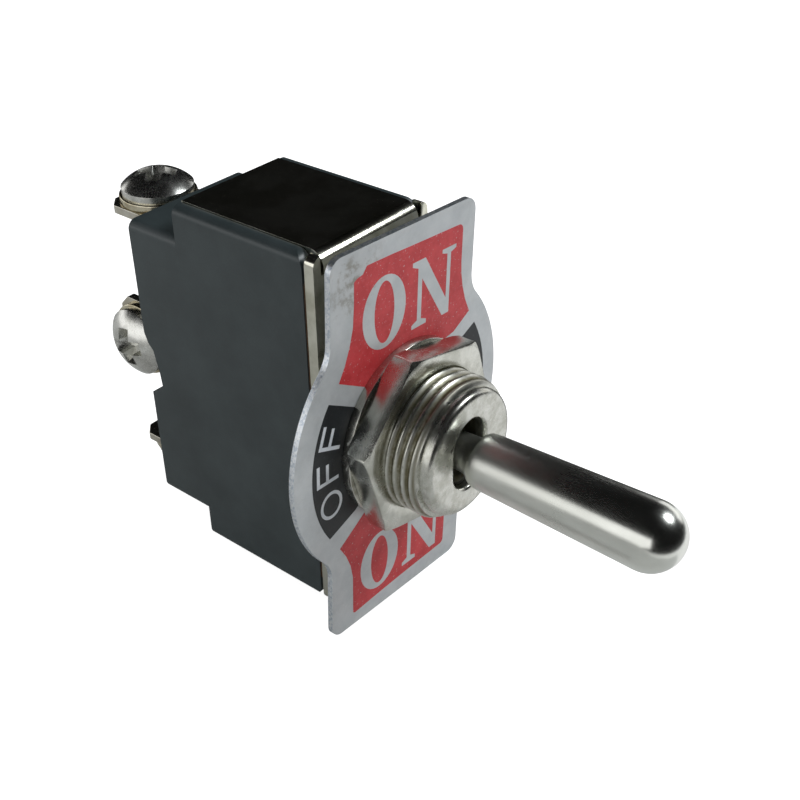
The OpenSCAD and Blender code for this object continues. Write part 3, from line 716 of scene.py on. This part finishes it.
def print_finish(name, low, high, rough, bare=0.0):
    """Printed enamel: mottled, pinholed with bare specks, and thinner where it is rubbed."""
    ink = Finish(name, ior=1.5)
    mottle, speck = ink.noise(1.6, 4, 0.7), ink.noise(0.22, 2, 0.6)
    colour = mottle.ease(0.3, 0.7).between(low, high)
    hole = speck.ease(0.62, 0.72) * bare
    ink.set("Base Color", ink.add("ShaderNodeMix", {"data_type": "RGBA"},
                                  {0: hole, 6: colour, 7: (0.66, 0.66, 0.68)}, 2))
    ink.set("Roughness", rough + mottle * 0.15)
    ink.relief(speck + mottle, 0.006)
    return ink


red = print_finish("red_enamel", (0.54, 0.030, 0.036), (0.68, 0.062, 0.070), 0.40, 0.55)
black = print_finish("black_enamel", (0.008, 0.010, 0.012), (0.018, 0.022, 0.025), 0.40, 0.06)
white = print_finish("white_enamel", (0.62, 0.66, 0.70), (0.76, 0.79, 0.82), 0.4)


letter_lift = 0.006


def printed(name, shapes, finish, lift, depth=0.012):
    """Film of print on the plate. Each shape is an outline, or an outer and an inner ring."""
    film = bmesh.new()
    low, high = plate_y - lift, plate_y - lift - depth
    c, s = math.cos(label_turn), math.sin(label_turn)

    def point(p, y):
        return film.verts.new((p[0] * c - p[1] * s, y, p[0] * s + p[1] * c))

    for shape in shapes:
        loops = shape if isinstance(shape[0][0], (tuple, list)) else [shape]
        front = [[point(p, high) for p in loop] for loop in loops]
        back = [[point(p, low) for p in loop] for loop in loops]
        for a, b in zip(front, back):
            for i in range(len(a)):
                j = (i + 1) % len(a)
                film.faces.new((a[i], a[j], b[j], b[i]))
        for side in (front, back):
            if len(side) == 1:
                film.faces.new(side[0])
            else:
                outer, inner = side
                for i in range(len(outer)):
                    j = (i + 1) % len(outer)
                    film.faces.new((outer[i], outer[j], inner[j], inner[i]))
    bmesh.ops.recalc_face_normals(film, faces=film.faces)
    piece = placed(name, film, finish)
    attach(piece, "switch_body")


def oval(u, v, half_u, half_v, steps=40):
    return [(u + half_u * math.cos(2 * math.pi * i / steps), v + half_v * math.sin(2 * math.pi * i / steps))
            for i in range(steps)]


def arc(centre, r, start, stop, steps=16):
    return [(centre[0] + r * math.cos(math.radians(start + (stop - start) * i / steps)),
             centre[1] + r * math.sin(math.radians(start + (stop - start) * i / steps)))
            for i in range(steps + 1)]


upper_red = ([(-6.25, 14.75), (-5.9, 14.95), (-5.3, 15.05), (-4.85, 15.6), (-2, 15.55)]
             + [(0, 15.47), (3, 15.38)]
             + arc((6.1, 14.75), 0.55, 80, 0, 5)
             + [(6.66, 12), (6.75, 11), (7.0, 9.8), (7.45, 8.5), (8.1, 7.2), (6.1, 6.05)]
             + arc((0, 0), 6.5, 60, 125, 10)
             + [(-4.6, 5.5), (-7.9, 7.2), (-7.2, 8.5), (-6.7, 9.8), (-6.35, 11.2), (-6.25, 13)])
lower_red = ([(-5.6, -6.6), (-7.85, -8.1), (-7.1, -9.3), (-6.55, -10.6), (-6.25, -12), (-6.2, -15.8)]
             + [(-6.0, -15.95), (-3, -15.75), (0, -15.6), (3, -15.5)]
             + arc((5.7, -15.0), 0.42, -80, 0, 5)
             + [(6.15, -12), (6.35, -10.6), (6.8, -9.3), (7.6, -8.1), (5.6, -6.6)]
             + arc((0, 0), 6.5, -55, -125, 10))
printed("red_print", [upper_red, lower_red], red, 0)
left_black = (arc((0, -0.25), 10.95, 145.6, 214.4, 22) + [(-5.95, -5.2)]
              + arc((0, 0), 6.6, 222, 145, 14) + [(-5.95, 4.35)])
right_black = (arc((0, -0.1), 10.75, 33.5, -33.5, 22) + [(6.0, -4.9)]
               + arc((0, 0), 6.6, -40, 40, 14) + [(6.0, 4.4)])
printed("black_print", [left_black, right_black], black, 0)

upper_n = [(0.45, 13.95), (2.0, 13.95), (4.75, 9.6), (4.75, 13.35), (4.10, 13.55), (4.10, 13.85),
           (5.85, 13.85), (5.85, 13.55), (5.20, 13.35), (5.20, 8.2), (4.35, 8.2), (1.65, 12.35),
           (1.65, 8.95), (2.3, 8.7), (2.3, 8.35), (0.5, 8.35), (0.5, 8.7), (1.15, 8.95),
           (1.15, 13.3), (0.45, 13.6)]
lower_shift = (-0.25, -23.1)
lower_n = [(u + lower_shift[0], v + lower_shift[1]) for u, v in upper_n]
printed("on_letters", [[oval(-2.8, 11.15, 2.5, 3.0), oval(-2.8, 11.15, 1.15, 2.55)],
                       [oval(-2.85, -12.1, 2.45, 2.9), oval(-2.85, -12.1, 1.1, 2.45)],
                       upper_n, lower_n], aluminium, letter_lift)


def letter_f(turn):
    """F that reads upwards round the plate's bulge, at this angle from the middle."""
    strokes = [[(-10.45, -1.02), (-8.0, -1.02), (-8.0, -0.70), (-10.45, -0.70)],
               [(-10.45, -0.72), (-10.12, -0.72), (-10.12, 1.0), (-10.45, 1.0)],
               [(-9.42, -0.72), (-9.10, -0.72), (-9.10, 0.78), (-9.42, 0.78)]]
    c, s = math.cos(math.radians(turn)), math.sin(math.radians(turn))
    return [[(u * c - v * s, u * s + v * c) for u, v in stroke] for stroke in strokes]


printed("off_letters", [[oval(-8.82, -3.2, 1.24, 1.28), oval(-8.82, -3.2, 0.94, 0.98)]]
        + letter_f(0) + letter_f(-18.5), white, letter_lift)

# ---- Floor, lights and camera ----
# The switch stands on a pale floor in even white light, with one small lamp above it to the right.
# A dark ceiling, dark cards and two grey mats show in its reflections alone.

lowest = cad_box[0][2]


def sheet(name, width, depth, place, turn=None):
    mesh = bpy.data.meshes.new(name)
    w, d = width / 2, depth / 2
    mesh.from_pydata([(-w, -d, 0), (w, -d, 0), (w, d, 0), (-w, d, 0)], [], [(0, 1, 2, 3)])
    if turn:
        mesh.transform(Matrix.Rotation(math.pi / 2, 4, turn))
    mesh.transform(Matrix.Translation(place))
    made = bpy.data.objects.new(name, mesh)
    bpy.context.scene.collection.objects.link(made)
    return made


def flag(name, width, depth, place, turn=None, stuff=None):
    """Card of dark cloth, or other stuff, that reflections show and nothing else meets."""
    made = sheet(name, width, depth, place, turn)
    made.visible_camera = made.visible_shadow = made.visible_diffuse = False
    made.data.materials.append((stuff or cloth).material)


paper = Finish("pale_floor", roughness=0.9)
paper.set("Base Color", paper.noise(90, 2).between((0.80, 0.80, 0.80), (0.84, 0.84, 0.84)))
path = paper.tree.nodes.new("ShaderNodeLightPath")
eye, gloss, clear = (Wire(paper, path.outputs[n])
                     for n in ("Is Camera Ray", "Is Glossy Ray", "Is Transmission Ray"))
paper.set("Emission Color", (1, 1, 1))
paper.set("Emission Strength", eye * 0.9 + (gloss + clear) * 0.28)
floor = sheet("floor", 6, 6, (0, 0, lowest))
floor.data.materials.append(paper.material)

cloth = Finish("dark_cloth", roughness=1.0)
cloth.set("Base Color", cloth.noise(60).between((0.002, 0.002, 0.002), (0.004, 0.004, 0.004)))
felt = Finish("grey_felt", roughness=1.0)
felt.set("Base Color", felt.noise(60).between((0.72, 0.73, 0.72), (0.78, 0.79, 0.78)))
flag("dark_ceiling", 1.4, 1.4, (0.22, 0.22, 0.30))
flag("dark_wall", 0.45, 0.34, (0.24, 0.13, 0.15), "X")
flag("dark_mat", 0.40, 0.30, (0.215, 0.14, lowest + 0.0004))
flag("dark_front", 1.3, 0.5, (0.10, -0.35, lowest + 0.25), "X")
flag("front_mat", 1.3, 0.28, (0.10, -0.21, lowest + 0.0003))
flag("near_mat", 0.21, 0.040, (-0.095, -0.032, lowest + 0.0002), stuff=felt)
flag("grey_mat", 1.0, 0.8, (-0.20, 0.388, lowest + 0.0002), stuff=felt)

world = bpy.data.worlds.new("studio")
bpy.context.scene.world = world
world.use_nodes = True
sky = Graph(world.node_tree)
background = world.node_tree.nodes["Background"]
path = world.node_tree.nodes.new("ShaderNodeLightPath")
eye, gloss, clear = (Wire(sky, path.outputs[n])
                     for n in ("Is Camera Ray", "Is Glossy Ray", "Is Transmission Ray"))
sky.feed(background.inputs["Color"], (1, 1, 1))
sky.feed(background.inputs["Strength"], 0.40 + eye * 0.60 + (gloss + clear) * 0.75)


def lamp(name, place, aim, size, power, colour=(1, 1, 1)):
    light = bpy.data.lights.new(name, "AREA")
    light.shape, light.size, light.energy, light.color = "DISK", size, power, colour
    made = bpy.data.objects.new(name, light)
    bpy.context.scene.collection.objects.link(made)
    made.location = place
    made.rotation_euler = (Vector(aim) - Vector(place)).to_track_quat("-Z", "Y").to_euler()


lamp("key_lamp", (0.135, -0.115, 0.165), (0, -0.01, 0), size=0.07, power=0.22, colour=(0.93, 0.97, 1.0))

view = bpy.data.cameras.new("camera")
camera = bpy.data.objects.new("camera", view)
bpy.context.scene.collection.objects.link(camera)
azimuth, elevation, roll = (math.radians(a) for a in (-49.204, 35.348, -1.361))
place, camera_reach = Vector((-0.00881, -0.00766, 0.00499)), 0.08643
back = Vector((math.sin(azimuth) * math.cos(elevation), -math.cos(azimuth) * math.cos(elevation),
               math.sin(elevation)))
place += back * camera_reach
right = Vector((0, 0, 1)).cross(back).normalized()
up = back.cross(right)
right, up = (right * math.cos(roll) + up * math.sin(roll), up * math.cos(roll) - right * math.sin(roll))
camera.matrix_world = Matrix.Translation(place) @ Matrix(
    (right, up, back)).transposed().to_4x4()
view.sensor_width, view.lens = 36, 54.27
view.shift_x, view.shift_y = 0.027, 0.0562
view.clip_start = 0.005
bpy.context.scene.camera = camera
bpy.context.scene.view_settings.view_transform = "Standard"
